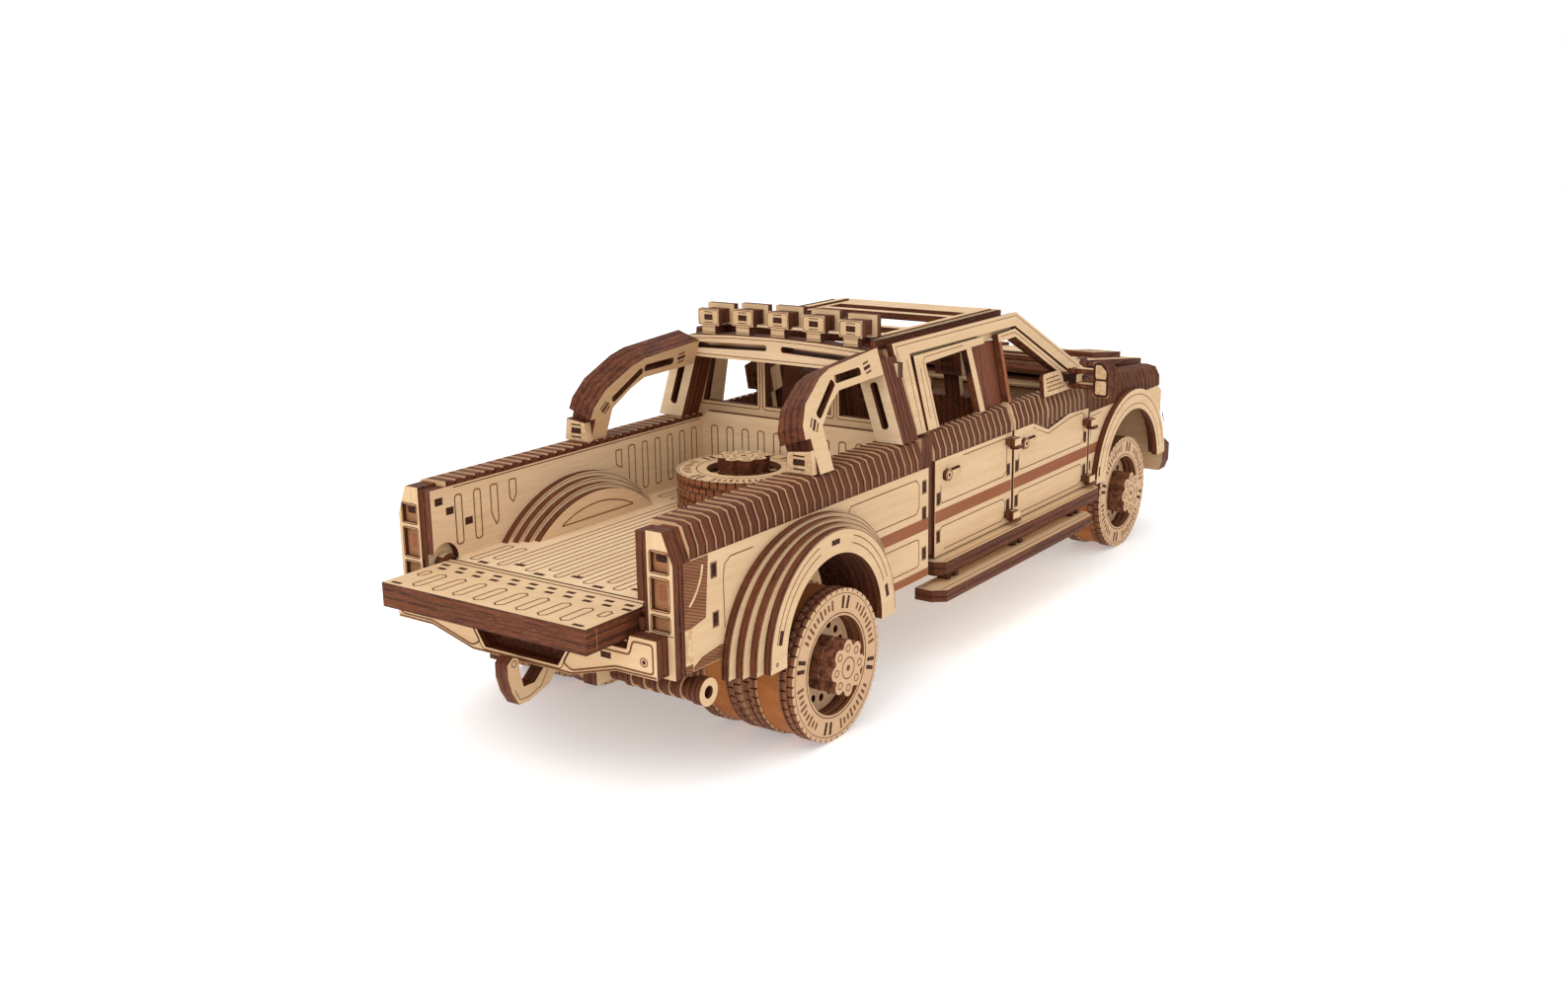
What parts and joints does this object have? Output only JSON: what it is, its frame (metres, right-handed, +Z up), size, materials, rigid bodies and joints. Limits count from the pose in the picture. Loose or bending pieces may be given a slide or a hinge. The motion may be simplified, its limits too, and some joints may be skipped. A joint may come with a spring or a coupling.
{
  "type": "wooden model pickup truck",
  "caption": "Laser-cut plywood model of a crew-cab pickup with double rear wheels, opening doors, hood and tailgate, a slatted body and a roll bar.",
  "frame": {"origin": "on the ground, below the middle of the length and of the width, with the tailgate open", "axes": "+X to the front of the truck, +Y to its left side, +Z up"},
  "size_m": [0.4584, 0.166, 0.1464],
  "materials": {
    "birch_ply": "laser-cut birch plywood, pale satin face",
    "dark_ply": "burnt plywood edges",
    "wheel_ply": "stacked plywood, pale faces and burnt rims"
  },
  "bodies": {
    "truck": {"chassis_frame": "dark_ply", "chassis_crossmembers": "dark_ply", "cab_floor": "birch_ply", "rear_axle_hangers": "dark_ply", "front_axle_beam": "dark_ply", "bed_floor": "birch_ply", "bed_walls": "birch_ply", "bed_front_wall": "birch_ply", "wheel_tubs": "birch_ply", "bed_side_panels": "birch_ply", "bed_side_slats": "dark_ply", "tail_lamps": "birch_ply", "rear_flares": "dark_ply", "rear_bumper": "birch_ply", "tow_hook": "birch_ply", "exhaust_pipe": "dark_ply", "roll_bar_hoops": "birch_ply", "roll_bar_header": "birch_ply", "spotlights": "birch_ply", "cab_rear_wall": "dark_ply", "cab_side_frames": "birch_ply", "roof_frame": "birch_ply", "b_pillars": "dark_ply", "front_seats": "birch_ply", "rear_bench": "birch_ply", "cowl": "birch_ply", "dashboard": "birch_ply", "fender_panels": "birch_ply", "fender_slats": "dark_ply", "front_flares": "birch_ply", "nose_panel": "birch_ply", "grille": "dark_ply", "headlamps": "birch_ply", "front_bumper": "birch_ply", "running_boards": "birch_ply", "door_hinge_brackets": "dark_ply", "steering_column": "dark_ply", "spare_wheel": "wheel_ply"},
    "tailgate": {"tailgate": "birch_ply"},
    "hood": {"hood_panel": "birch_ply", "hood_vent": "birch_ply"},
    "rear_axle": {"rear_axle_shaft": "birch_ply", "rear_outer_wheels": "wheel_ply", "rear_inner_wheels": "wheel_ply"},
    "left_front_wheel": {"left_front_wheel": "wheel_ply"},
    "right_front_wheel": {"right_front_wheel": "wheel_ply"},
    "left_knuckle": {"left_knuckle": "dark_ply"},
    "right_knuckle": {"right_knuckle": "dark_ply"},
    "tie_rod": {"tie_rod": "birch_ply"},
    "steering_wheel": {"steering_wheel": "dark_ply"},
    "left_rear_door": {"left_rear_door_panel": "birch_ply", "left_rear_door_frame": "birch_ply"},
    "right_rear_door": {"right_rear_door_panel": "birch_ply", "right_rear_door_frame": "birch_ply"},
    "left_front_door": {"left_front_door_panel": "birch_ply", "left_front_door_frame": "birch_ply"},
    "right_front_door": {"right_front_door_panel": "birch_ply", "right_front_door_frame": "birch_ply"},
    "left_mirror": {"left_mirror": "birch_ply"},
    "right_mirror": {"right_mirror": "birch_ply"}
  },
  "joints": [
    {"name": "tailgate_hinge", "type": "hinge", "parent": "truck", "child": "tailgate", "pos_m": [-0.19725, 0, 0.0655], "axis": [0, 1, 0], "range_deg": [0, 90]},
    {"name": "hood_hinge", "type": "hinge", "parent": "truck", "child": "hood", "pos_m": [0.14075, 0, 0.0995], "axis": [0, -1, 0], "range_deg": [0, 50]},
    {"name": "left_rear_door_hinge", "type": "hinge", "parent": "truck", "child": "left_rear_door", "pos_m": [0.03735, 0.0646, 0.06], "axis": [0, 0, -1], "range_deg": [0, 65]},
    {"name": "left_front_door_hinge", "type": "hinge", "parent": "truck", "child": "left_front_door", "pos_m": [0.11785, 0.0646, 0.06], "axis": [0, 0, -1], "range_deg": [0, 65]},
    {"name": "left_mirror_fold", "type": "hinge", "parent": "left_front_door", "child": "left_mirror", "pos_m": [0.09875, 0.064, 0.1002], "axis": [0, 0, 1], "range_deg": [0, 60]},
    {"name": "right_rear_door_hinge", "type": "hinge", "parent": "truck", "child": "right_rear_door", "pos_m": [0.03735, -0.0646, 0.06], "axis": [0, 0, 1], "range_deg": [0, 65]},
    {"name": "right_front_door_hinge", "type": "hinge", "parent": "truck", "child": "right_front_door", "pos_m": [0.11785, -0.0646, 0.06], "axis": [0, 0, 1], "range_deg": [0, 65]},
    {"name": "right_mirror_fold", "type": "hinge", "parent": "right_front_door", "child": "right_mirror", "pos_m": [0.09875, -0.064, 0.1002], "axis": [0, 0, -1], "range_deg": [0, 60]},
    {"name": "rear_axle_spin", "type": "hinge", "parent": "truck", "child": "rear_axle", "pos_m": [-0.12675, 0, 0.0288], "axis": [0, 1, 0], "continuous": true},
    {"name": "left_steer", "type": "hinge", "parent": "truck", "child": "left_knuckle", "pos_m": [0.16925, 0.034, 0.0288], "axis": [0, 0, 1], "range_deg": [-18, 18]},
    {"name": "left_wheel_spin", "type": "hinge", "parent": "left_knuckle", "child": "left_front_wheel", "pos_m": [0.16925, 0.046, 0.0288], "axis": [0, 1, 0], "continuous": true},
    {"name": "right_steer", "type": "hinge", "parent": "truck", "child": "right_knuckle", "pos_m": [0.16925, -0.034, 0.0288], "axis": [0, 0, 1], "range_deg": [-18, 18]},
    {"name": "right_wheel_spin", "type": "hinge", "parent": "right_knuckle", "child": "right_front_wheel", "pos_m": [0.16925, -0.046, 0.0288], "axis": [0, 1, 0], "continuous": true},
    {"name": "tie_rod_slide", "type": "slide", "parent": "truck", "child": "tie_rod", "axis": [0, 1, 0], "range_m": [-0.0045, 0.0045]},
    {"name": "steering_wheel_turn", "type": "hinge", "parent": "truck", "child": "steering_wheel", "pos_m": [0.09825, 0.024, 0.086], "axis": [0.866, 0, -0.5], "range_deg": [-90, 90]}
  ],
  "couplings": [
    {"joint": "right_steer", "follows": "left_steer", "ratio": 1},
    {"joint": "tie_rod_slide", "follows": "left_steer", "m_per_rad": -0.0138}
  ]
}
